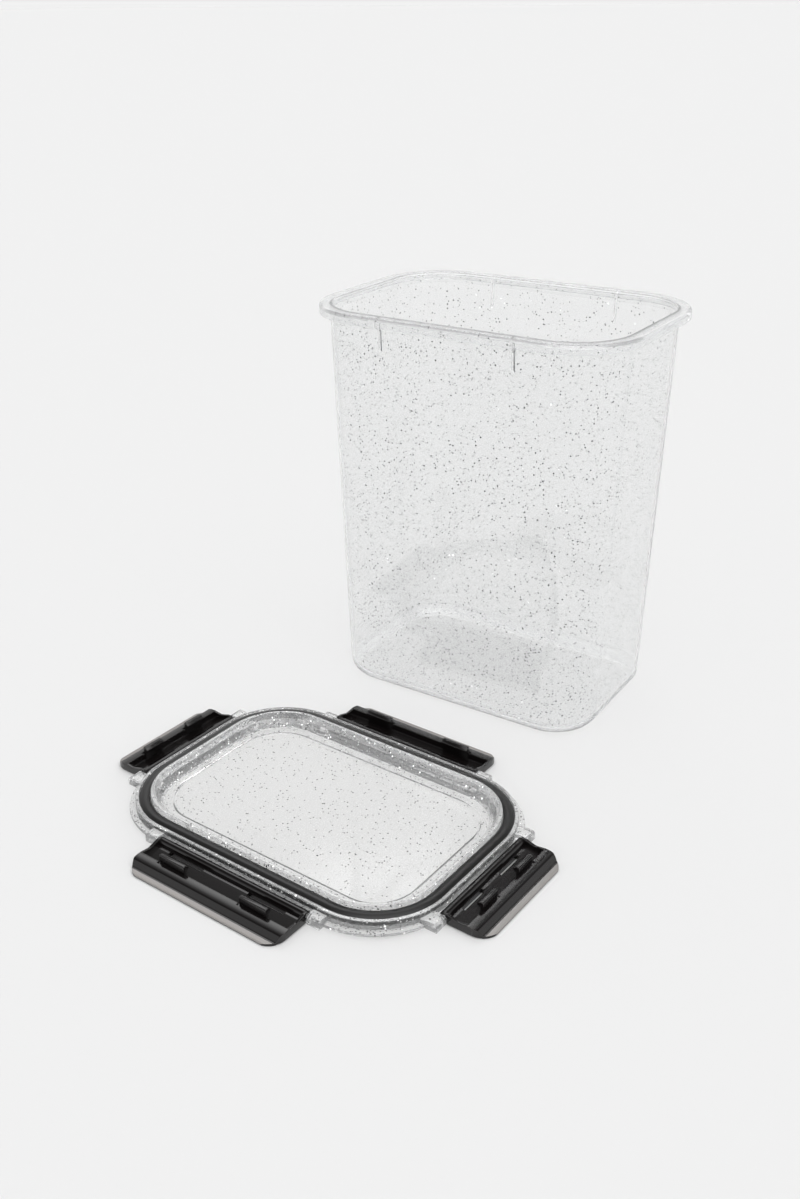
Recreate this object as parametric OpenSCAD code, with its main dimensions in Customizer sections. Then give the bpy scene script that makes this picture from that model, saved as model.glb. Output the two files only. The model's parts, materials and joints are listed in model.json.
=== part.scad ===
// Clear food canister with a four-flap locking lid.
// The canister stands open; its lid lies beside it, inner face up, with all four flaps open.
// Millimetres, +Z up. The origin is the centre of the canister's base, X along its long side.

/* [Canister] */
// Length over the rim
rim_length = 200; // [180:1:240]
// Width over the rim
rim_width = 140.7; // [125:0.1:180]
// Outer corner radius of the rim
rim_corner = 41.8; // [38:0.1:46]
// Height from the table to the top of the rim
canister_height = 241; // [120:1:300]
// Depth of the rim's outer skirt
rim_depth = 5.6; // [4.5:0.1:7]
// Distance from the rim's outer edge to the wall below it
rim_overhang = 6.3; // [5.5:0.1:7]
// How far each wall leans in from rim to base
wall_lean = 7.15; // [0:0.05:10]
// Wall thickness
wall = 1.8; // [1.4:0.1:2.2]
// Floor thickness
floor_thickness = 2.4; // [1.8:0.1:3]
// Radius of the rounded bottom edge
base_round = 9; // [5:0.5:12]
// Distance from the middle to each guide rib under the rim
rib_offset = 42; // [30:1:50]
// Height of a guide rib below the rim
rib_drop = 14; // [8:1:20]

/* [Lid] */
// Clearance between the plug and the inside of the mouth
plug_gap = 0.8; // [0.4:0.1:1.2]
// Height of the plug's top edge above the table
plug_top = 10; // [9:0.5:12]
// Height of the gasket's upper face above the table
gasket_top = 8; // [7.5:0.1:8.5]
// Width of the gasket channel
channel_width = 6.4; // [5.8:0.1:6.8]
// Turn of the lid about the vertical
lid_turn = -3.4; // [-10:0.1:10]
// Place of the lid's centre, left to right
lid_x = -0.5; // [-20:0.5:20]
// Place of the lid's centre, front to back
lid_y = -187; // [-240:1:-185]

/* [Flaps] */
// Length of each long flap
long_flap = 101; // [80:1:104]
// Length of each short flap
short_flap = 73; // [60:1:76]
// Reach of a flap from its hinge axis to its lip
flap_reach = 26; // [24:0.5:28]
// Distance from the plug's side to the hinge axis
hinge_out = 12.3; // [12:0.1:13]
// Height of the hinge axis above the table
hinge_height = 3.2; // [3:0.1:3.6]
// Radius of the hinge pins
pin_radius = 1.5; // [1.2:0.1:1.8]
// Length of each hinge pin
pin_length = 4; // [3:0.5:5]

/* [Hidden] */
$fn = 64;

// Corner centres of the canister, shared by every level of it.
canister_cx = rim_length / 2 - rim_corner;
canister_cy = rim_width / 2 - rim_corner;
wall_top = rim_corner - rim_overhang;          // outer wall radius under the rim
wall_base = wall_top - wall_lean;              // outer wall radius at the base
rim_bottom = canister_height - rim_depth;
rim_skin = 2;                                  // thickness of the rim's flange and skirt
edge = 0.8;                                    // small edge round of mouldings
weld = 0.2;                                    // overlap of shapes that fuse into one moulding
rib_width = 1.2;
rib_stand = 2;                                 // how far a rib stands off the wall
rib_slope = 1.8;                               // height of a rib's sloping foot

// Lid: plug radius at its corners, and the corner centres it shares with the channel.
plug_corner = 34.5;
mouth_l = canister_cx + wall_top - wall;       // half length of the mouth
mouth_w = canister_cy + wall_top - wall;       // half width of the mouth
lid_cx = mouth_l - plug_gap - plug_corner;
lid_cy = mouth_w - plug_gap - plug_corner;
channel_floor = 3.6;
channel_wall = 2.2;
channel_top = 7.5;
deck_under = 0.6;                              // underside of the lid's border
lobe_reach = 12;                               // lobes beyond the plug's side
lobe_top = 2.4;
window_corner = 27;
window_cx = 54.35;                             // corner centres of the window panel
window_cy = 22.25;
window_top = 1.8;
foot_inset = 12.3;                             // underside of the panel, in from the plug's side
ledge_top = 2.6;
plug_skin = 2;
plug_foot = 6.8;                               // how far in the plug's inner slope lands
gasket_fit = 0.15;                             // gap between gasket and channel sides
gasket_crown = 1.2;                            // round of the gasket's upper edges

boss_width = 8.5;
boss_gap = 0.5;                                // between a flap's end and its boss
boss_reach = 2.6;                              // boss beyond the hinge axis
boss_top = 5.7;
boss_root = 9;                                 // boss depth inward of the hinge axis
boss_chamfer = 1.2;
boss_slope = 1.6;                              // fall of a boss's top toward the channel
bore_end = 0.5;                                // how far a bore runs past the end of its pin
bore_play = 0.05;                              // radial play of a pin in its bore

// Flap: distances out from the hinge axis, and heights above the table.
barrel = 2.5;                                  // radius of a flap's hinge barrel
plate = 1.6;                                   // thickness of a flap's plate
flap_under = 0.5;                              // underside of the trough
trough = flap_under + plate;
crest_in = 13.6;                               // inner edge of the hump
crest_top = 5;
crest_bend = 17;                               // where the hump starts to fall away
step_in = 19.7;                                // where the hump drops to the grip lip
step_out = 21.1;
lip_top = 1.2;
hook_top = 9.3;
hook_catch = 10.5;                             // face that grips under the rim
hook_flat = 12.1;
hook_out = 14.1;
notch_out = 15.4;                              // relief in the hump in front of each hook
notch_floor = 4.3;
notch_side = 0.8;
cheek = 1.5;
cheek_top = 6.1;
tip_corner = 10;
slot_out = 3.2;
slot_depth = 2.2;
above = 20;                                    // taller than any part of the lid or a flap

// Hooks and slots: width and place along the hinge, on long and short flaps.
function hook_width(length) = length > 90 ? 17.6 : 13;
function hook_place(length) = length > 90 ? 27.5 : 16.4;
function slot_width(length) = length > 90 ? 24.5 : 18;

// A section is drawn in X (outward from the corner centre) and Y (up). It is swept round a
// rounded rectangle whose corner centres are at cx, cy.
module swept(cx, cy) {
    for (turn = [0, 90, 180, 270]) {
        swap = turn % 180 != 0;
        a = swap ? cy : cx;
        b = swap ? cx : cy;
        rotate([0, 0, turn]) {
            translate([a, b, 0]) rotate_extrude(angle = 90) children();
            translate([a, 0, 0]) rotate([90, 0, 0])
                linear_extrude(height = 2 * b, center = true) children();
        }
    }
}

// Points of an arc about c, from angle a to angle b.
function arc(c, r, a, b, n = 8) =
    [for (i = [0:n]) c + r * [cos(a + (b - a) * i / n), sin(a + (b - a) * i / n)]];

// Points of a closed outline whose corners [x, y, round] are replaced by arcs.
function unit(v) = v / norm(v);
function corner(a, b, c, r, n) =
    let(u = unit(a - b), v = unit(c - b), half = acos(u * v) / 2, reach = r / tan(half),
        centre = b + unit(u + v) * r / sin(half), p = b + u * reach - centre,
        q = b + v * reach - centre, start = atan2(p.y, p.x),
        turn = (atan2(q.y, q.x) - start + 540) % 360 - 180)
    [for (i = [0:n]) centre + r * [cos(start + turn * i / n), sin(start + turn * i / n)]];
function rounded(points, n = 4) =
    let(count = len(points), flat = [for (p = points) [p.x, p.y]])
    [for (i = [0:count - 1]) each points[i].z == 0 ? [flat[i]]
        : corner(flat[(i + count - 1) % count], flat[i], flat[(i + 1) % count], points[i].z, n)];

module canister_section() {
    lean = atan(wall_lean / rim_bottom);
    round_x = wall_base + wall_lean * base_round / rim_bottom - base_round;
    outer = arc([round_x, base_round], base_round, -90, -lean);
    inner = arc([round_x, base_round + floor_thickness - wall], base_round - wall, -lean, -90);
    polygon(concat(
        [[0, 0]], outer,
        [[wall_top, rim_bottom + rim_depth - rim_skin],
         [rim_corner - rim_skin, canister_height - rim_skin],
         [rim_corner - rim_skin, rim_bottom]],
        arc([rim_corner - edge, rim_bottom + edge], edge, -90, 0, 4),
        arc([rim_corner - 2 * edge, canister_height - 2 * edge], 2 * edge, 0, 90, 6),
        arc([wall_top - wall + edge, canister_height - edge], edge, 90, 180, 4),
        inner, [[0, floor_thickness]]));
}

module guide_rib() {
    // A thin gusset between the wall and the rim's skirt, its foot fading into the wall.
    foot = rim_bottom - rib_drop;
    wall_at_foot = wall_top - wall_lean * rib_drop / rim_bottom;
    under_flange = canister_height - rim_skin + weld;
    in_skirt = rim_corner - rim_skin + weld;
    rotate([90, 0, 90]) linear_extrude(height = rib_width, center = true)
        polygon([[wall_top - wall / 2, under_flange], [wall_at_foot - wall / 2, foot],
                 [wall_at_foot + weld, foot], [wall_at_foot + rib_stand, foot + rib_slope],
                 [wall_top + rib_stand, rim_bottom], [in_skirt, rim_bottom + edge],
                 [in_skirt, under_flange]]);
}

module canister_body() {
    color("gainsboro", 0.5) {
        swept(canister_cx, canister_cy) canister_section();
        translate([-canister_cx, -canister_cy, 0])
            cube([2 * canister_cx, 2 * canister_cy, floor_thickness]);
        for (x = [-rib_offset, rib_offset], side = [0, 180])
            rotate([0, 0, side]) translate([x, canister_cy, 0]) guide_rib();
    }
}

// Everything of the lid is drawn about the lid's own centre and then placed.
module place_lid() {
    translate([lid_x, lid_y, 0]) rotate([0, 0, lid_turn]) children();
}

module lid_section() {
    r = plug_corner;
    outer = r + channel_width + channel_wall;
    polygon(concat(
        [[0, 0], [r - foot_inset, 0], [r - foot_inset + 2 * deck_under, deck_under],
         [outer, deck_under], [outer, channel_top - edge / 2],
         [outer - edge / 2, channel_top], [r + channel_width + edge / 2, channel_top],
         [r + channel_width, channel_top - edge / 2], [r + channel_width, channel_floor],
         [r, channel_floor]],
        arc([r - edge, plug_top - edge], edge, 0, 90, 4),
        arc([r - plug_skin + edge / 2, plug_top - edge / 2], edge / 2, 90, 180, 3),
        [[r - plug_foot + edge, ledge_top + edge], [r - plug_foot, ledge_top],
         [0, ledge_top]]));
}

// The pocket above the window panel, cut into the deck at ledge height.
module window_pocket() {
    step = ledge_top - window_top;
    swept(window_cx, window_cy)
        polygon([[0, window_top], [window_corner - step, window_top],
                 [window_corner, ledge_top], [window_corner, ledge_top + step],
                 [0, ledge_top + step]]);
    translate([-window_cx, -window_cy, window_top])
        cube([2 * window_cx, 2 * window_cy, 2 * step]);
}

module lobe_section() {
    inner = plug_corner + channel_width + channel_wall / 2;
    outer = plug_corner + lobe_reach;
    round = edge / 2;
    polygon([[inner, deck_under], [outer - round, deck_under], [outer, deck_under + round],
             [outer, lobe_top - round], [outer - round, lobe_top], [inner, lobe_top]]);
}

// Side of the plug that a flap hangs from, and the flap's length, by turn about the vertical.
function side_out(turn) = turn % 180 == 0 ? lid_cx + plug_corner : lid_cy + plug_corner;
function flap_length(turn) = turn % 180 == 0 ? short_flap : long_flap;

// Children are drawn with X along the outward direction from the hinge axis, Y along the axis
// and Z up from the axis.
module at_hinge(turn) {
    rotate([0, 0, turn]) translate([side_out(turn) + hinge_out, 0, hinge_height]) children();
}

module boss_profile() {
    low = deck_under - hinge_height;
    high = boss_top - hinge_height;
    polygon([[-boss_root, low], [boss_reach - edge, low], [boss_reach, low + edge],
             [boss_reach, high - boss_chamfer], [boss_reach - boss_chamfer, high],
             [-barrel, high], [-boss_root, high - boss_slope]]);
}

module bosses(turn) {
    for (end = [-1, 1])
        at_hinge(turn)
            translate([0, end * (flap_length(turn) / 2 + boss_gap + boss_width / 2), 0])
            rotate([90, 0, 0]) linear_extrude(height = boss_width, center = true) boss_profile();
}

// A round along the hinge axis: from `out` beyond a flap's end to `depth` inside it.
module hinge_pin(length, end, radius, depth, out) {
    translate([0, end * (length - depth + out) / 2, 0]) rotate([90, 0, 0])
        cylinder(r = radius, h = depth + out, center = true);
}

module lid_shell() {
    r = plug_corner;
    color("gainsboro", 0.5) place_lid() difference() {
        union() {
            swept(lid_cx, lid_cy) lid_section();
            translate([-lid_cx, -lid_cy, 0]) cube([2 * lid_cx, 2 * lid_cy, ledge_top]);
            difference() {
                swept(lid_cx, lid_cy) lobe_section();
                // the lobes stop at the flaps
                for (turn = [0, 90, 180, 270]) at_hinge(turn)
                    translate([-hinge_out + channel_width + channel_wall,
                               -flap_length(turn) / 2 - boss_gap, -hinge_height])
                    cube([above, flap_length(turn) + 2 * boss_gap, above]);
            }
            for (turn = [0, 90, 180, 270]) bosses(turn);
            for (turn = [0, 90, 180, 270], end = [-1, 1]) at_hinge(turn)
                hinge_pin(flap_length(turn), end, pin_radius, pin_length, boss_gap + weld);
        }
        window_pocket();
        // gasket channel, cut clear of the bosses
        swept(lid_cx, lid_cy) translate([r, channel_floor]) square([channel_width, plug_top]);
    }
}

module lid_gasket() {
    low = channel_floor;
    inner = plug_corner + gasket_fit;
    outer = plug_corner + channel_width - gasket_fit;
    crown_at = gasket_top - gasket_crown;
    color("dimgray") place_lid() swept(lid_cx, lid_cy) polygon(concat(
        [[inner, low], [outer, low]],
        arc([outer - gasket_crown, crown_at], gasket_crown, 0, 90, 6),
        arc([inner + gasket_crown, crown_at], gasket_crown, 90, 180, 6)));
}

// Sections of a flap: X outward from the hinge axis, Y up from the table, third value the
// corner's round. The plate runs from the trough up over the hump and down to the grip lip.
module plate_section() {
    polygon(rounded([
        [0.5, trough, 0], [crest_in - 0.4, trough, 0.6], [crest_in, crest_top, 0.4],
        [crest_bend, crest_top - 0.1, 12], [step_in, crest_top - 0.9, 1.5],
        [step_out, lip_top + 0.3, 0.8],
        [flap_reach - 0.6, lip_top, 0.5], [flap_reach, 0.3, 0.4], [flap_reach - 0.8, 0, 0.3],
        [step_out, 0, 0.5], [step_in - 1.1, crest_top - 0.9 - plate, 1],
        [crest_in + plate, crest_top - plate, 1], [crest_in + plate - 0.4, flap_under, 0.6],
        [0, flap_under, 0]]));
}

// The wall that closes each end of the trough and of the hump.
module cheek_section() {
    polygon(rounded([
        [-1.8, 4.6, 0.4], [0, cheek_top, 0.8], [2.4, cheek_top, 1.2], [8.5, crest_top - 0.7, 4],
        [crest_in, crest_top, 0.5], [step_in, crest_top - 0.9, 1.5],
        [step_out - 0.2, lip_top, 0], [step_out - 0.2, flap_under, 0], [0, flap_under, 1.5],
        [-1.8, 2, 1]]));
}

// A latch hook: an upright whose nose points at the hinge, sloped on top to ride over the rim.
module hook_section() {
    polygon(rounded([
        [hook_catch, hook_top - 1.4, 0.3], [hook_flat, hook_top, 0.3], [hook_out, hook_top, 0.5],
        [hook_out, crest_top - 1.6, 0], [hook_out - 0.9, trough - 0.3, 0],
        [hook_flat, trough - 0.3, 0], [hook_flat, hook_top - 3.6, 0.4],
        [hook_catch, hook_top - 3, 0.2]]));
}

module flap(turn) {
    length = flap_length(turn);
    color("dimgray") place_lid() at_hinge(turn) {
        difference() {
            union() {
                rotate([90, 0, 0]) cylinder(r = barrel, h = length, center = true);
                translate([0, 0, -hinge_height]) rotate([90, 0, 0])
                    linear_extrude(height = length, center = true) plate_section();
                for (end = [-1, 1]) translate([0, end * (length - cheek) / 2, -hinge_height])
                    rotate([90, 0, 0]) linear_extrude(height = cheek, center = true)
                    cheek_section();
            }
            // rounded corners of the lip
            for (end = [-1, 1]) translate([flap_reach - tip_corner, end * (length / 2 - tip_corner), 0])
                difference() {
                    translate([0, end > 0 ? 0 : -above, -above / 2]) cube(above);
                    cylinder(r = tip_corner, h = 2 * above, center = true);
                }
            // moulding slots behind the hooks
            for (side = [-1, 1])
                translate([slot_out, side * hook_place(length) - slot_width(length) / 2, -above])
                cube([slot_depth, slot_width(length), above]);
            // blind bores for the lid's pins
            for (end = [-1, 1])
                hinge_pin(length, end, pin_radius + bore_play, pin_length + bore_end, weld);
            // relief in the hump in front of each hook
            for (side = [-1, 1])
                translate([crest_in - 1, side * hook_place(length) - hook_width(length) / 2 - notch_side,
                           notch_floor - hinge_height])
                cube([notch_out - crest_in + 1, hook_width(length) + 2 * notch_side, above]);
        }
        for (side = [-1, 1])
            translate([0, side * hook_place(length), -hinge_height]) rotate([90, 0, 0])
            linear_extrude(height = hook_width(length), center = true) hook_section();
    }
}

module flap_right() { flap(0); }
module flap_back() { flap(90); }
module flap_left() { flap(180); }
module flap_front() { flap(270); }

canister_body();
lid_shell();
lid_gasket();
flap_front();
flap_back();
flap_left();
flap_right();
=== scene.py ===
"""Looks of a clear food canister and its four-flap lid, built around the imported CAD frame."""
import json
import math

import bmesh
import bpy
from mathutils import Matrix, Vector


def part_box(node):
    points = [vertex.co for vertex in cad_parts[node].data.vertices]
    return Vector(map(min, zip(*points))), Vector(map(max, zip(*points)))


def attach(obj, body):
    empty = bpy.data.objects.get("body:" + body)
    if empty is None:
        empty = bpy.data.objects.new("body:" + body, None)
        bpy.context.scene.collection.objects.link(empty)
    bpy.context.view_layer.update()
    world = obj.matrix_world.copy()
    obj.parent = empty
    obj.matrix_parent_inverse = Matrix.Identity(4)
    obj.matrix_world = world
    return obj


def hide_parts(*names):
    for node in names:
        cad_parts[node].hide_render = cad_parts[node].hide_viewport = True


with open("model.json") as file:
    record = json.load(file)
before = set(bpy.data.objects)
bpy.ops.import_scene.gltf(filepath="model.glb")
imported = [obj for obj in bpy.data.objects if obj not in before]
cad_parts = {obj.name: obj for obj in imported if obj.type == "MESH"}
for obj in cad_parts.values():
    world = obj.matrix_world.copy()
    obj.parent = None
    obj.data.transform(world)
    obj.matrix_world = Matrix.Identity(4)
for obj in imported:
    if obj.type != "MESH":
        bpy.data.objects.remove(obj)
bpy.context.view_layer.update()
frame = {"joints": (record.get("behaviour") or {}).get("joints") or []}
MM = 0.001

# Camera, at the photograph's viewing angle (millimetres and degrees)
TARGET = (-72.6, 0, 32.5)
AZIMUTH = 33.23
ELEVATION = 26.09
DISTANCE = 834
ROLL = -0.554
LENS = 36.94

# Canister (millimetres)
RIM_CORNER = 41.8
RIM_DEPTH = 5.6
RIM_OVERHANG = 6.3
RIM_SKIN = 2.0
WALL = 1.8
WALL_LEAN = 7.15
FLOOR_THICKNESS = 2.4
BASE_ROUND = 9.0
RIB_OFFSET = 42.0
RIB_DROP = 14.0
RIB_WIDTH = 1.2
RIB_STAND = 2.0

# Lid: outward from the corner centres of the plug, and heights above the table
PLUG_CORNER = 34.5
PLUG_TOP = 10.0
PLUG_SKIN = 2.0
PLUG_FOOT = 6.8
CHANNEL_WIDTH = 6.4
CHANNEL_FLOOR = 3.6
CHANNEL_WALL = 2.2
CHANNEL_TOP = 7.5
DECK_UNDER = 0.6
LEDGE_TOP = 2.6
WINDOW_TOP = 1.8
WINDOW_CORNER = 27.0
WINDOW_CENTRE = (54.35, 22.25)
FOOT_INSET = 12.3
LOBE_REACH = 12.0
LOBE_TOP = 2.4
GASKET_TOP = 8.0
GASKET_FIT = 0.15
BOSS_WIDTH = 8.5
BOSS_GAP = 0.5
BOSS_REACH = 2.6
BOSS_TOP = 5.7
BOSS_CHAMFER = 1.2
BOSS_ROOT = 9.0
HINGE_OUT = 12.3
PIN_RADIUS = 1.5
PIN_LENGTH = 4.0

# Flaps: outward from the hinge axis, and heights above the table
FLAP_REACH = 26.0
FLAP_UNDER = 0.25
PLATE = 1.6
TROUGH_TOP = 2.9
TROUGH_STRIP = 4.4
TROUGH_FOOT = 0.75
BARREL = 2.5
CREST_IN = 13.6
CREST_TOP = 5.0
CREST_BEND = 16.4
STEP_IN = 19.3
STEP_OUT = 21.7
LIP_ROLL = 22.4
LIP_TOP = 1.2
TIP_CORNER = 10.0
CHEEK = 1.5
CHEEK_TOP = 6.1
HOOK_TOP = 9.3
HOOK_CATCH = 10.5
HOOK_FLAT = 12.1
HOOK_OUT = 14.1
NOTCH_OUT = 15.4
NOTCH_FLOOR = 4.3
NOTCH_SIDE = 0.8
SLOT_OUT = 3.2
SLOT_DEPTH = 2.2
LONG = {"length": 101.0, "hook": 17.6, "place": 27.5, "slot": 24.5}
SHORT = {"length": 73.0, "hook": 13.0, "place": 16.4, "slot": 18.0}
FLAPS = {"flap_front": LONG, "flap_back": LONG, "flap_left": SHORT, "flap_right": SHORT}

joints = {joint["name"]: joint for joint in frame["joints"]}


# ------------------------------------------------------------------ outlines
def unit(x, y):
    size = math.hypot(x, y)
    return x / size, y / size


def rounded(points, steps=6):
    """The closed outline of [x, y, round] points, with each corner replaced by an arc."""
    outline = []
    for i, (bx, by, radius) in enumerate(points):
        if radius == 0:
            outline.append((bx, by))
            continue
        ax, ay, _ = points[i - 1]
        cx, cy, _ = points[(i + 1) % len(points)]
        u, v = unit(ax - bx, ay - by), unit(cx - bx, cy - by)
        half = math.acos(u[0] * v[0] + u[1] * v[1]) / 2
        mid = unit(u[0] + v[0], u[1] + v[1])
        ox, oy = bx + mid[0] * radius / math.sin(half), by + mid[1] * radius / math.sin(half)
        reach = radius / math.tan(half)
        start = math.atan2(by + u[1] * reach - oy, bx + u[0] * reach - ox)
        end = math.atan2(by + v[1] * reach - oy, bx + v[0] * reach - ox)
        turn = (end - start + 3 * math.pi) % (2 * math.pi) - math.pi
        for k in range(steps + 1):
            angle = start + turn * k / steps
            outline.append((ox + radius * math.cos(angle), oy + radius * math.sin(angle)))
    return outline


def dense(outline, longest):
    """The same closed outline with its straight stretches split."""
    result = []
    for i, (ax, ay) in enumerate(outline):
        bx, by = outline[(i + 1) % len(outline)]
        count = max(1, math.ceil(math.hypot(bx - ax, by - ay) / longest))
        result += [(ax + (bx - ax) * k / count, ay + (by - ay) * k / count) for k in range(count)]
    return result


# ------------------------------------------------------------------ meshes
def make_object(name, bm, place=Matrix.Identity(4)):
    """An object from a bmesh, put in place; all modelling is in millimetres."""
    bmesh.ops.recalc_face_normals(bm, faces=bm.faces)
    if bm.calc_volume(signed=True) < 0:
        bmesh.ops.reverse_faces(bm, faces=bm.faces)
    mesh = bpy.data.meshes.new(name)
    bm.to_mesh(mesh)
    bm.free()
    mesh.transform(place)
    piece = bpy.data.objects.new(name, mesh)
    bpy.context.scene.collection.objects.link(piece)
    return piece


def swept(name, section, cx, cy, steps=20, capped=True):
    """A section of (radius, height) swept round a rounded rectangle with corner centres cx, cy.
    A capped section is open: its two ends are closed with flat faces."""
    bm = bmesh.new()
    rings = []
    for turn, (sx, sy) in enumerate(((1, 1), (-1, 1), (-1, -1), (1, -1))):
        for i in range(steps + 1):
            a = math.pi / 2 * (turn + i / steps)
            rings.append([bm.verts.new((sx * cx + r * math.cos(a), sy * cy + r * math.sin(a), z))
                          for r, z in section])
    last = len(section) - 1 if capped else len(section)
    for here, there in zip(rings, rings[1:] + rings[:1]):
        for k in range(last):
            n = (k + 1) % len(section)
            bm.faces.new((here[k], there[k], there[n], here[n]))
    if capped:
        bm.faces.new([ring[0] for ring in rings])
        bm.faces.new([ring[-1] for ring in rings])
    return make_object(name, bm)


def prism(name, outline, width, place=Matrix.Identity(4), soft=0.0, y=0.0):
    """An outline in X and Z, given width along Y about y. soft rounds every edge."""
    bm = bmesh.new()
    ends = [[bm.verts.new((x, y + side * width / 2, z)) for x, z in outline] for side in (-1, 1)]
    for k in range(len(outline)):
        n = (k + 1) % len(outline)
        bm.faces.new((ends[0][k], ends[0][n], ends[1][n], ends[1][k]))
    bm.faces.new(ends[0])
    bm.faces.new(ends[1])
    if soft:
        bmesh.ops.recalc_face_normals(bm, faces=bm.faces)
        sharp = [e for e in bm.edges if e.calc_face_angle() > math.radians(25)]
        bmesh.ops.bevel(bm, geom=sharp, offset=soft, segments=3, profile=0.5, affect="EDGES",
                        clamp_overlap=True)
    return make_object(name, bm, place)


def box_outline(low_x, high_x, low_z, high_z):
    return [(low_x, low_z), (high_x, low_z), (high_x, high_z), (low_x, high_z)]


def rod(name, radius, start, end, place=Matrix.Identity(4), steps=32):
    """A round bar along Y."""
    bm = bmesh.new()
    turn = Matrix.Translation((0, (start + end) / 2, 0)) @ Matrix.Rotation(math.pi / 2, 4, "X")
    bmesh.ops.create_cone(bm, cap_ends=True, segments=steps, radius1=radius, radius2=radius,
                          depth=end - start, matrix=turn)
    return make_object(name, bm, place)


def combine(piece, tools, operation):
    """Joins the tools to a piece, or cuts them from it, and removes them."""
    for tool in tools:
        change = piece.modifiers.new("change", "BOOLEAN")
        change.solver = "EXACT"
        change.operation = operation
        change.object = tool
    evaluated = piece.evaluated_get(bpy.context.evaluated_depsgraph_get())
    mesh = bpy.data.meshes.new_from_object(evaluated)
    piece.modifiers.clear()
    piece.data = mesh
    for tool in tools:
        bpy.data.objects.remove(tool)


def finish_piece(piece, place, body, node, material=None, angle=30):
    """Puts a finished piece in the row frame, in metres, where it stands for a CAD node."""
    bm = bmesh.new()
    bm.from_mesh(piece.data)
    bmesh.ops.remove_doubles(bm, verts=bm.verts, dist=0.002)
    bmesh.ops.dissolve_degenerate(bm, edges=bm.edges, dist=0.002)
    bm.to_mesh(piece.data)
    bm.free()
    piece.data.transform(Matrix.Scale(MM, 4) @ place)
    piece.data.polygons.foreach_set("use_smooth", [True] * len(piece.data.polygons))
    piece.data.set_sharp_from_angle(angle=math.radians(angle))
    if material:
        piece.data.materials.clear()
        piece.data.materials.append(material)
    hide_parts(node)
    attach(piece, body)


# ------------------------------------------------------------------ canister
def canister_section(wall_top, height):
    """From the middle of the underside out, up the wall, over the rim and down to the floor."""
    rim_bottom = height - RIM_DEPTH
    wall_base = wall_top - WALL_LEAN
    slope = WALL_LEAN / rim_bottom
    skirt = RIM_CORNER - RIM_SKIN
    flange = height - RIM_SKIN
    points = [
        (0, 0, 0), (wall_base + slope * 2, 0, BASE_ROUND), (wall_top - slope, rim_bottom - 1, 0),
        (wall_top, flange, 0.5), (skirt, flange, 0.5), (skirt, rim_bottom, 0.3),
        (RIM_CORNER, rim_bottom, 0.7), (RIM_CORNER, height, 1.6),
        (wall_top - WALL, height, 0.9), (wall_top - WALL, flange - 2, 0),
        (wall_base - WALL + slope * FLOOR_THICKNESS, FLOOR_THICKNESS, BASE_ROUND - WALL),
        (0, FLOOR_THICKNESS, 0)]
    return rounded(points, 8)


def guide_rib(wall_top, height, place):
    """A thin gusset between the wall and the rim's skirt, its foot fading into the wall."""
    rim_bottom = height - RIM_DEPTH
    foot = rim_bottom - RIB_DROP
    wall_at_foot = wall_top - WALL_LEAN * RIB_DROP / rim_bottom
    skirt = RIM_CORNER - RIM_SKIN / 2
    flange = height - RIM_SKIN / 2
    outline = rounded([
        (wall_top - WALL / 2, flange, 0), (wall_at_foot - WALL / 2, foot - 0.6, 0),
        (wall_at_foot + 0.2, foot, 0.6), (wall_at_foot + RIB_STAND, foot + 1.8, 0.8),
        (wall_top + RIB_STAND, rim_bottom, 0), (skirt, rim_bottom + 0.8, 0), (skirt, flange, 0)], 4)
    return prism("rib", outline, RIB_WIDTH, place, soft=0.2)


def build_canister(clear, milky):
    low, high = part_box("canister_body")
    length, width, height = (high - low) / MM
    cx, cy = length / 2 - RIM_CORNER, width / 2 - RIM_CORNER
    wall_top = RIM_CORNER - RIM_OVERHANG
    body = swept("canister", canister_section(wall_top, height), cx, cy)
    ribs = []
    for side in (-1, 1):
        for x in (-RIB_OFFSET, RIB_OFFSET):
            place = (Matrix.Translation((x, side * cy, 0))
                     @ Matrix.Rotation(side * math.pi / 2, 4, "Z"))
            ribs.append(guide_rib(wall_top, height, place))
    combine(body, ribs, "UNION")
    body.data.materials.clear()
    body.data.materials.append(clear)
    body.data.materials.append(milky)
    for face in body.data.polygons:
        rim = face.center.z > height - RIM_DEPTH - 0.5
        base_edge = face.center.z < BASE_ROUND and abs(face.normal.z) < 0.9
        if rim or base_edge:
            face.material_index = 1
    middle = Matrix.Translation((*((high + low) / 2 / MM).xy, 0))
    finish_piece(body, middle, "canister", "canister_body")


# ------------------------------------------------------------------ lid
def hinge_place(name):
    """Place of a hinge on the table: X outward, Y along the axis, Z up from the table."""
    joint = joints[name + "_hinge"]
    x, y, _ = joint["pos_m"]
    ax, ay, _ = joint["axis"]
    return Matrix(((-ay, -ax, 0, x / MM), (ax, -ay, 0, y / MM), (0, 0, 1, 0), (0, 0, 0, 1)))


def lid_place():
    """The lid's own frame: midway between its front and back hinges, X along its long side."""
    front = Vector(joints["flap_front_hinge"]["pos_m"])
    back = Vector(joints["flap_back_hinge"]["pos_m"])
    ax, ay, _ = joints["flap_back_hinge"]["axis"]
    x, y, _ = (front + back) / 2 / MM
    return Matrix(((ax, -ay, 0, x), (ay, ax, 0, y), (0, 0, 1, 0), (0, 0, 0, 1)))


def plug_centres():
    """Corner centres of the plug, from the distances between opposite hinges."""
    def reach(a, b):
        here, there = (Vector(joints[n + "_hinge"]["pos_m"]) for n in (a, b))
        return (here - there).length / MM / 2 - HINGE_OUT - PLUG_CORNER
    return reach("flap_left", "flap_right"), reach("flap_front", "flap_back")


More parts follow.
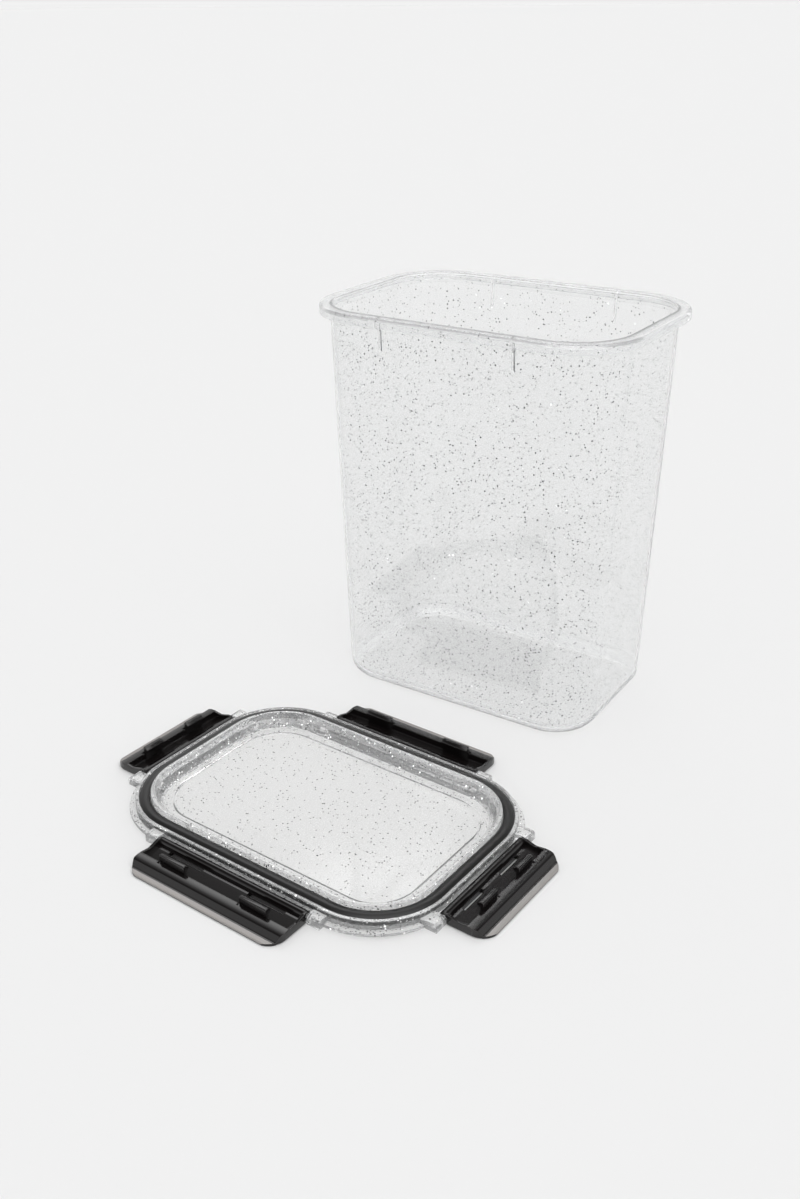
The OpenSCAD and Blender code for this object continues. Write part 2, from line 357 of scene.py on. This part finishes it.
def lid_section():
    r = PLUG_CORNER
    wall_in = r + CHANNEL_WIDTH
    outer = wall_in + CHANNEL_WALL
    return rounded([
        (6, 0, 0), (r - FOOT_INSET, 0, 0.3), (r - FOOT_INSET + 1.2, DECK_UNDER, 0.4),
        (outer, DECK_UNDER, 0.4), (outer, CHANNEL_TOP, 0.7), (wall_in, CHANNEL_TOP, 0.7),
        (wall_in, CHANNEL_FLOOR, 0.3), (r, CHANNEL_FLOOR, 0.3), (r, PLUG_TOP, 0.8),
        (r - PLUG_SKIN, PLUG_TOP, 0.7), (r - PLUG_FOOT + 0.4, LEDGE_TOP + 0.8, 0.5),
        (r - PLUG_FOOT - 0.4, LEDGE_TOP, 0.3), (6, LEDGE_TOP, 0)], 5)


def lobe_section():
    inner = PLUG_CORNER + CHANNEL_WIDTH + CHANNEL_WALL / 2
    outer = PLUG_CORNER + LOBE_REACH
    return rounded([(inner, DECK_UNDER + 0.1, 0), (outer, DECK_UNDER + 0.1, 0.6),
                    (outer, LOBE_TOP, 0.6), (inner, LOBE_TOP, 0)], 5)


def boss(place, y):
    low, high = DECK_UNDER - 0.05, BOSS_TOP
    outline = [(-BOSS_ROOT, low), (BOSS_REACH, low), (BOSS_REACH, high - BOSS_CHAMFER),
               (BOSS_REACH - BOSS_CHAMFER, high), (-BARREL, high), (-BOSS_ROOT, high - 1.6)]
    return prism("boss", outline, BOSS_WIDTH, place, soft=0.45, y=y)


def hinges_on_lid(cx, cy):
    """Each flap's hinge place in the lid's own frame."""
    side, end = cy + PLUG_CORNER + HINGE_OUT, cx + PLUG_CORNER + HINGE_OUT
    spots = {"flap_front": (0, -side, -90), "flap_back": (0, side, 90),
             "flap_left": (-end, 0, 180), "flap_right": (end, 0, 0)}
    return {name: Matrix.Translation((x, y, 0)) @ Matrix.Rotation(math.radians(turn), 4, "Z")
            for name, (x, y, turn) in spots.items()}


def sort_lid_faces(shell, cx, cy, ring, edge):
    """The clear material stays on the middle; the thicker ring round it holds more glitter,
    and its upright outer faces are painted with shade: they get a dark copy of the clear plastic."""
    shell.data.materials.append(ring)
    shell.data.materials.append(edge)
    wall = PLUG_CORNER + CHANNEL_WIDTH + CHANNEL_WALL
    for face in shell.data.polygons:
        x, y, z = face.center
        outward = math.hypot(max(abs(x) - cx, 0), max(abs(y) - cy, 0))
        # Painted shade: the wall's upright outer faces get the dark copy of the clear plastic
        if abs(outward - wall) < 0.1 and z > LOBE_TOP - 0.5 and face.normal.z < 0.8:
            face.material_index = 2
        elif outward > PLUG_CORNER - PLUG_FOOT - 0.9:
            face.material_index = 1


def build_lid(clear, ring, edge):
    cx, cy = plug_centres()
    shell = swept("lid", lid_section(), cx, cy)
    lobes = swept("lobes", lobe_section(), cx, cy, steps=23, capped=False)
    gaps = []
    added = []
    for name, hinge in hinges_on_lid(cx, cy).items():
        length = FLAPS[name]["length"]
        gap = box_outline(-HINGE_OUT + CHANNEL_WIDTH + CHANNEL_WALL, 20, -5, 20)
        gaps.append(prism("gap", gap, length + 2 * BOSS_GAP + 1, hinge))
        for end in (-1, 1):
            added.append(boss(hinge, end * (length / 2 + BOSS_GAP + BOSS_WIDTH / 2)))
            pin = sorted((end * (length / 2 - PIN_LENGTH), end * (length / 2 + BOSS_GAP + 1)))
            added.append(rod("pin", PIN_RADIUS, *pin, hinge @ hinge_height()))
    combine(lobes, gaps, "DIFFERENCE")
    combine(shell, [lobes] + added, "UNION")
    low = (PLUG_CORNER, CHANNEL_FLOOR + 0.3), (PLUG_CORNER + CHANNEL_WIDTH, CHANNEL_FLOOR + 0.3)
    channel = swept("channel", [*low, (low[1][0], 20), (low[0][0], 20)], cx, cy, capped=False)
    step = LEDGE_TOP - WINDOW_TOP
    pocket = swept("pocket", [(5, WINDOW_TOP), (WINDOW_CORNER - step, WINDOW_TOP),
                              (WINDOW_CORNER + step, LEDGE_TOP + step),
                              (5, LEDGE_TOP + step)], *WINDOW_CENTRE)
    combine(shell, [channel, pocket], "DIFFERENCE")
    shell.data.materials.clear()
    shell.data.materials.append(clear)
    sort_lid_faces(shell, cx, cy, ring, edge)
    finish_piece(shell, lid_place(), "lid", "lid_shell")


def hinge_height():
    return Matrix.Translation((0, 0, joints["flap_front_hinge"]["pos_m"][2] / MM))


def build_gasket(material):
    cx, cy = plug_centres()
    inner = PLUG_CORNER + GASKET_FIT
    outer = PLUG_CORNER + CHANNEL_WIDTH - GASKET_FIT
    low = CHANNEL_FLOOR + 0.02
    section = rounded([
        (inner, low, 0.4), (outer, low, 0.4), (outer, GASKET_TOP - 1.2, 1.0),
        (inner + 3, GASKET_TOP + 0.3, 6), (inner, GASKET_TOP - 1.2, 1.0)], 8)
    stretch = (GASKET_TOP - low) / (max(z for _, z in section) - low)
    section = [(r, low + (z - low) * stretch) for r, z in section]
    gasket = swept("gasket", section, cx, cy, 28, capped=False)
    finish_piece(gasket, lid_place(), "lid", "lid_gasket", material, angle=60)


# ------------------------------------------------------------------ flaps
def plate_outline():
    """Trough, hump and grip lip of a flap, as one thin folded section."""
    under_hump = CREST_TOP - 0.9 - PLATE
    return dense(rounded([
        (0.5, TROUGH_TOP, 0), (TROUGH_STRIP, TROUGH_TOP, 2), (CREST_IN - 0.4, TROUGH_FOOT, 0.6),
        (CREST_IN, CREST_TOP, 0.4),
        (CREST_BEND, CREST_TOP, 18), (STEP_IN, CREST_TOP - 0.75, 1.2),
        (STEP_OUT, LIP_TOP + 0.3, 0.8),
        (FLAP_REACH - 0.6, LIP_TOP, 0.5), (FLAP_REACH, 0.3, 0.4), (FLAP_REACH - 0.8, 0, 0.3),
        (STEP_OUT, 0, 0.5), (STEP_IN - 1.1, under_hump, 1),
        (CREST_IN + PLATE, CREST_TOP - PLATE, 1), (CREST_IN + PLATE - 0.4, FLAP_UNDER, 0.6),
        (0, FLAP_UNDER, 0)], 8), 0.8)


def flap_blank(length):
    """What the flap is trimmed to: its outer corners are round in plan."""
    bm = bmesh.new()
    plan = rounded([(-10, -length / 2, 0), (FLAP_REACH, -length / 2, TIP_CORNER),
                    (FLAP_REACH, length / 2, TIP_CORNER), (-10, length / 2, 0)], 12)
    rings = [[bm.verts.new((x, y, z)) for x, y in plan] for z in (-5, 15)]
    for k in range(len(plan)):
        n = (k + 1) % len(plan)
        bm.faces.new((rings[0][k], rings[0][n], rings[1][n], rings[1][k]))
    bm.faces.new(rings[0])
    bm.faces.new(rings[1])
    return make_object("blank", bm)


def cheek_outline():
    return rounded([
        (-1.8, 4.6, 0.4), (0, CHEEK_TOP, 0.8), (2.4, CHEEK_TOP, 1.2), (8.5, CREST_TOP - 0.7, 4),
        (CREST_IN, CREST_TOP - 0.1, 0.5), (STEP_IN - 0.3, CREST_TOP - 1.1, 1.5),
        (STEP_OUT - 0.4, LIP_TOP - 0.2, 0), (STEP_OUT - 0.6, FLAP_UNDER + 0.1, 0),
        (0, FLAP_UNDER + 0.1, 1.5), (-1.8, 2, 1)], 4)


def hook_outline():
    return [(HOOK_CATCH, HOOK_TOP - 1.4), (HOOK_FLAT, HOOK_TOP), (HOOK_OUT, HOOK_TOP),
            (HOOK_OUT, CREST_TOP - 1.6), (HOOK_OUT - 0.9, FLAP_UNDER + 0.2),
            (HOOK_FLAT, FLAP_UNDER + 0.2), (HOOK_FLAT, HOOK_TOP - 3.6),
            (HOOK_CATCH, HOOK_TOP - 3)]


def paint_light_on_lip(piece, thin):
    """Paints light on the rolled grip lip: its upward faces get a lighter copy of the smoke
    plastic, standing in for the reflection on the thin lip and the light through it.
    """
    piece.data.materials.append(thin)
    for face in piece.data.polygons:
        # Painted light on the lip's upward faces
        if face.center.x > LIP_ROLL and face.normal.z > 0.3:
            face.material_index = 1


def build_flap(name, material, thin):
    kind = FLAPS[name]
    length = kind["length"]
    axis = hinge_height()
    piece = prism(name + "_moulding", plate_outline(), length - 0.3)
    added = [rod("barrel", BARREL, -length / 2 + 0.4, length / 2 - 0.4, axis, 40)]
    cuts = []
    hooks = []
    for end in (-1, 1):
        cheek_middle = end * (length - CHEEK) / 2
        added.append(prism("cheek", cheek_outline(), CHEEK, soft=0.2, y=cheek_middle))
        bore = sorted((end * (length / 2 - PIN_LENGTH - 0.5), end * (length / 2 + 1)))
        cuts.append(rod("bore", PIN_RADIUS + 0.05, *bore, axis))
        at = end * kind["place"]
        slot = box_outline(SLOT_OUT, SLOT_OUT + SLOT_DEPTH, -2, TROUGH_TOP + 0.5)
        cuts.append(prism("slot", slot, kind["slot"], y=at))
        notch = box_outline(CREST_IN - 1, NOTCH_OUT, NOTCH_FLOOR, 12)
        cuts.append(prism("notch", notch, kind["hook"] + 2 * NOTCH_SIDE, y=at))
        hooks.append(prism("hook", hook_outline(), kind["hook"], soft=0.4, y=at))
    combine(piece, added, "UNION")
    combine(piece, [flap_blank(length)], "INTERSECT")
    combine(piece, cuts, "DIFFERENCE")
    combine(piece, hooks, "UNION")
    piece.data.materials.clear()
    piece.data.materials.append(material)
    # thin is the painted-light copy of the smoke plastic for the lip
    paint_light_on_lip(piece, thin)
    finish_piece(piece, hinge_place(name), name, name)


# ------------------------------------------------------------------ materials
COOL_CLEAR = (0.955, 0.958, 0.958)
WARM_CLEAR = (0.957, 0.956, 0.951)
# Painted shade: a dark tint for the lid wall's upright outer faces, which are the same clear
# plastic as the rest of the lid
PAINTED_SHADE_CLEAR = (0.2, 0.2, 0.2)


def new_material(name):
    material = bpy.data.materials.new(name)
    material.use_nodes = True
    tree = material.node_tree
    tree.nodes.clear()
    return material, tree


def node(tree, kind, **values):
    """A node with its properties and its inputs set by name."""
    made = tree.nodes.new(kind)
    for key, value in values.items():
        if key in made.inputs:
            made.inputs[key].default_value = value
        elif hasattr(made, key):
            setattr(made, key, value)
        else:
            made.inputs[key.replace("_", " ")].default_value = value
    return made


def let_light_through(tree, shader, share):
    """Lets a share of the light at each surface through to what stands under clear plastic."""
    light = node(tree, "ShaderNodeLightPath")
    passing = math_node(tree, "MAXIMUM", light.outputs["Is Shadow Ray"],
                        light.outputs["Is Diffuse Ray"])
    open_air = node(tree, "ShaderNodeBsdfTransparent", Color=(share, share, share, 1))
    mix = node(tree, "ShaderNodeMixShader")
    tree.links.new(passing, mix.inputs[0])
    tree.links.new(shader.outputs[0], mix.inputs[1])
    tree.links.new(open_air.outputs[0], mix.inputs[2])
    output = node(tree, "ShaderNodeOutputMaterial")
    tree.links.new(mix.outputs[0], output.inputs["Surface"])


def math_node(tree, operation, first, second):
    """A math node; each input is a number or another node's output."""
    made = node(tree, "ShaderNodeMath", operation=operation)
    for socket, value in zip(made.inputs, (first, second)):
        if isinstance(value, (int, float)):
            socket.default_value = value
        else:
            tree.links.new(value, socket)
    return made.outputs[0]


def flakes(tree, cell, size, share):
    """A mask of scattered glitter flakes, with three random numbers and a random lean for each."""
    place = node(tree, "ShaderNodeTexCoord")
    cells = node(tree, "ShaderNodeTexVoronoi", Scale=1 / (cell * MM))
    chosen = node(tree, "ShaderNodeSeparateColor")
    tree.links.new(place.outputs["Object"], cells.inputs["Vector"])
    tree.links.new(cells.outputs["Color"], chosen.inputs[0])
    any_size = math_node(tree, "MULTIPLY_ADD", chosen.outputs[2], size / cell / 2)
    any_size.node.inputs[2].default_value = size / cell / 2
    near = math_node(tree, "LESS_THAN", cells.outputs["Distance"], any_size)
    kept = math_node(tree, "LESS_THAN", chosen.outputs[0], share)
    return math_node(tree, "MULTIPLY", near, kept), cells.outputs["Color"], chosen.outputs[1]


def flake_facing(tree, lean):
    """The surface's normal, leaned at random for each flake."""
    centred = node(tree, "ShaderNodeVectorMath", operation="SUBTRACT")
    centred.inputs[1].default_value = (0.5, 0.5, 0.5)
    spread = node(tree, "ShaderNodeVectorMath", operation="SCALE", Scale=1.6)
    surface = node(tree, "ShaderNodeNewGeometry")
    facing = node(tree, "ShaderNodeVectorMath", operation="ADD")
    straight = node(tree, "ShaderNodeVectorMath", operation="NORMALIZE")
    tree.links.new(lean, centred.inputs[0])
    tree.links.new(centred.outputs[0], spread.inputs[0])
    tree.links.new(spread.outputs[0], facing.inputs[0])
    tree.links.new(surface.outputs["Normal"], facing.inputs[1])
    tree.links.new(facing.outputs[0], straight.inputs[0])
    return straight.outputs[0]


def mixed(tree, share, first, second):
    """Two shaders mixed by a number or a mask."""
    mix = node(tree, "ShaderNodeMixShader")
    if isinstance(share, float):
        mix.inputs[0].default_value = share
    else:
        tree.links.new(share, mix.inputs[0])
    tree.links.new(first.outputs[0], mix.inputs[1])
    tree.links.new(second.outputs[0], mix.inputs[2])
    return mix


def clear_plastic(name, tint, cell, flake, share, shine_power, milk, rough, shade):
    """Clear moulded plastic, faintly milky, with silver glitter through it."""
    material, tree = new_material(name)
    clear = node(tree, "ShaderNodeBsdfPrincipled", Base_Color=(*tint, 1), Roughness=rough,
                 IOR=1.49, Transmission_Weight=1.0)
    haze = node(tree, "ShaderNodeBsdfDiffuse", Color=(0.84, 0.85, 0.855, 1))
    mask, lean, shine = flakes(tree, cell, flake, share)
    silver = node(tree, "ShaderNodeBsdfAnisotropic", Roughness=0.25)
    tree.links.new(math_node(tree, "POWER", shine, shine_power), silver.inputs["Color"])
    tree.links.new(flake_facing(tree, lean), silver.inputs["Normal"])
    glitter = mixed(tree, mask, mixed(tree, milk, clear, haze), silver)
    let_light_through(tree, glitter, shade)
    return material


def smoky_plastic(name, tint, rough):
    """Smoke-black plastic. It is opaque; the lighter copy used on the flap lips is painted light,
    standing in for the reflection on the thin lip and the light through it.
    """
    material, tree = new_material(name)
    skin = node(tree, "ShaderNodeBsdfPrincipled", Base_Color=(*tint, 1), Roughness=rough, IOR=1.55)
    output = node(tree, "ShaderNodeOutputMaterial")
    tree.links.new(skin.outputs[0], output.inputs["Surface"])
    return material


def gasket_rubber():
    """Satin dark silicone with a very fine surface."""
    material, tree = new_material("gasket_rubber")
    place = node(tree, "ShaderNodeTexCoord")
    grain = node(tree, "ShaderNodeTexNoise", Scale=2500.0, Detail=3.0)
    tint = node(tree, "ShaderNodeValToRGB")
    tint.color_ramp.elements[0].color = (0.006, 0.006, 0.006, 1)
    tint.color_ramp.elements[1].color = (0.014, 0.013, 0.013, 1)
    bump = node(tree, "ShaderNodeBump", Strength=0.15, Distance=0.00005)
    skin = node(tree, "ShaderNodeBsdfPrincipled", Roughness=0.28, IOR=1.42)
    output = node(tree, "ShaderNodeOutputMaterial")
    tree.links.new(place.outputs["Object"], grain.inputs["Vector"])
    tree.links.new(grain.outputs["Fac"], tint.inputs[0])
    tree.links.new(grain.outputs["Fac"], bump.inputs["Height"])
    tree.links.new(tint.outputs[0], skin.inputs["Base Color"])
    tree.links.new(bump.outputs[0], skin.inputs["Normal"])
    tree.links.new(skin.outputs[0], output.inputs["Surface"])
    return material


# ------------------------------------------------------------------ studio
def add_camera():
    a, e, roll = (math.radians(v) for v in (AZIMUTH, ELEVATION, ROLL))
    back = Vector((math.sin(a) * math.cos(e), -math.cos(a) * math.cos(e), math.sin(e)))
    right = Vector((math.cos(a), math.sin(a), 0))
    up = back.cross(right)
    right, up = (right * math.cos(roll) + up * math.sin(roll),
                 up * math.cos(roll) - right * math.sin(roll))
    camera = bpy.data.objects.new("camera", bpy.data.cameras.new("camera"))
    bpy.context.scene.collection.objects.link(camera)
    camera.data.lens = LENS
    camera.data.sensor_width = 36
    camera.data.clip_start = 0.01
    camera.data.clip_end = 500
    turn = Matrix((right, up, back)).transposed().to_4x4()
    camera.matrix_world = Matrix.Translation((Vector(TARGET) + back * DISTANCE) * MM) @ turn
    bpy.context.scene.camera = camera


def add_floor():
    """A large matt table; its far edge is past the horizon of any view."""
    reach, drop = 60.0, 0.0003
    bm = bmesh.new()
    corners = [(-reach, -reach), (reach, -reach), (reach, reach), (-reach, reach)]
    bm.faces.new([bm.verts.new((x, y, -drop)) for x, y in corners])
    mesh = bpy.data.meshes.new("table")
    bm.to_mesh(mesh)
    bm.free()
    material, tree = new_material("table_white")
    matt = node(tree, "ShaderNodeBsdfDiffuse", Color=(0.732, 0.732, 0.732, 1))
    output = node(tree, "ShaderNodeOutputMaterial")
    tree.links.new(matt.outputs[0], output.inputs["Surface"])
    mesh.materials.append(material)
    table = bpy.data.objects.new("table", mesh)
    bpy.context.scene.collection.objects.link(table)


# Brightness of the studio by height (the sine of the elevation), and of the lamp behind by the
# cosine of the angle from its middle
ROOM = ((0.0, 0.88), (0.25, 0.85), (0.53, 0.7), (0.58, 0.5), (0.64, 0.12), (1.0, 0.06))
BACK_LAMP = ((0.0, 0.0), (0.875, 0.0), (0.895, 0.15), (0.92, 0.8), (0.95, 1.6), (0.985, 2.6))
BACK_LAMP_SIDE = (-0.45, 0.62, 0.62)
BACK_LAMP_FOOT = (0.612, 0.63)
SOFT_BOX = 2.4
SOFT_BOX_SIDE = (0.3, -0.2, 0.93)
SOFT_BOX_EDGE = (0.75, 0.85)


def aligned(tree, direction, side):
    """The cosine of the angle between a direction and a side."""
    dot = node(tree, "ShaderNodeVectorMath", operation="DOT_PRODUCT")
    dot.inputs[1].default_value = Vector(side).normalized()
    tree.links.new(direction, dot.inputs[0])
    return dot.outputs["Value"]


def brightness(tree, value, stops):
    """A brightness that follows another value through (value, brightness) stops."""
    ramp = node(tree, "ShaderNodeValToRGB")
    elements = ramp.color_ramp.elements
    while len(elements) < len(stops):
        elements.new(0.5)
    for element, (position, level) in zip(elements, stops):
        element.position = position
        element.color = (level / SOFT_BOX,) * 3 + (1,)
    tree.links.new(value, ramp.inputs[0])
    return ramp.outputs[0]


def soft_edge(tree, value, limits):
    """From 0 at the lower limit to 1 at the upper one."""
    edge = node(tree, "ShaderNodeMapRange", interpolation_type="SMOOTHSTEP")
    edge.inputs["From Min"].default_value, edge.inputs["From Max"].default_value = limits
    tree.links.new(value, edge.inputs["Value"])
    return edge.outputs[0]


def add_sky():
    """A studio: pale round the horizon, a lamp behind, and a soft box overhead."""
    world = bpy.data.worlds.new("studio")
    bpy.context.scene.world = world
    world.use_nodes = True
    tree = world.node_tree
    direction = node(tree, "ShaderNodeTexCoord").outputs["Generated"]
    parts = node(tree, "ShaderNodeSeparateXYZ")
    tree.links.new(direction, parts.inputs[0])
    room = brightness(tree, parts.outputs["Z"], ROOM)
    lamp = brightness(tree, aligned(tree, direction, BACK_LAMP_SIDE), BACK_LAMP)
    lamp = math_node(tree, "MULTIPLY", lamp, soft_edge(tree, parts.outputs["Z"], BACK_LAMP_FOOT))
    above = soft_edge(tree, aligned(tree, direction, SOFT_BOX_SIDE), SOFT_BOX_EDGE)
    total = math_node(tree, "MAXIMUM", math_node(tree, "ADD", room, lamp), above)
    background = tree.nodes["Background"]
    background.inputs["Strength"].default_value = SOFT_BOX
    tree.links.new(total, background.inputs["Color"])


# ------------------------------------------------------------------ build
add_camera()
add_floor()
add_sky()
bpy.context.scene.view_settings.view_transform = "Standard"

build_canister(clear_plastic("clear_canister_plastic", COOL_CLEAR, cell=2.6, flake=0.48, share=0.8,
                             shine_power=2.0, milk=0.04, rough=0.05, shade=0.97),
               clear_plastic("clear_rim_plastic", COOL_CLEAR, cell=2.2, flake=0.42, share=0.8,
                             shine_power=1.5, milk=0.14, rough=0.12, shade=0.97))
# The lid's edge material is painted shade: a dark copy of the clear plastic on the wall's upright
# outer faces
build_lid(clear_plastic("clear_lid_plastic", WARM_CLEAR, cell=2.2, flake=0.42, share=0.45,
                        shine_power=2.0, milk=0.05, rough=0.08, shade=0.97),
          clear_plastic("clear_ring_plastic", WARM_CLEAR, cell=1.7, flake=0.6, share=0.85,
                        shine_power=0.4, milk=0.12, rough=0.10, shade=0.92),
          clear_plastic("clear_edge_painted_shade", PAINTED_SHADE_CLEAR, cell=1.5, flake=0.55, share=0.6,
                        shine_power=0.8, milk=0.02, rough=0.10, shade=0.80))
build_gasket(gasket_rubber())
smoke = smoky_plastic("smoky_black_plastic", (0.005, 0.004, 0.004), 0.15)
# Painted light: a lighter copy of the smoke plastic for the upward faces of the flap lips
painted_lip_light_smoke = smoky_plastic("smoky_painted_lip_light", (0.25, 0.235, 0.225), 0.15)
for flap in FLAPS:
    build_flap(flap, smoke, painted_lip_light_smoke)
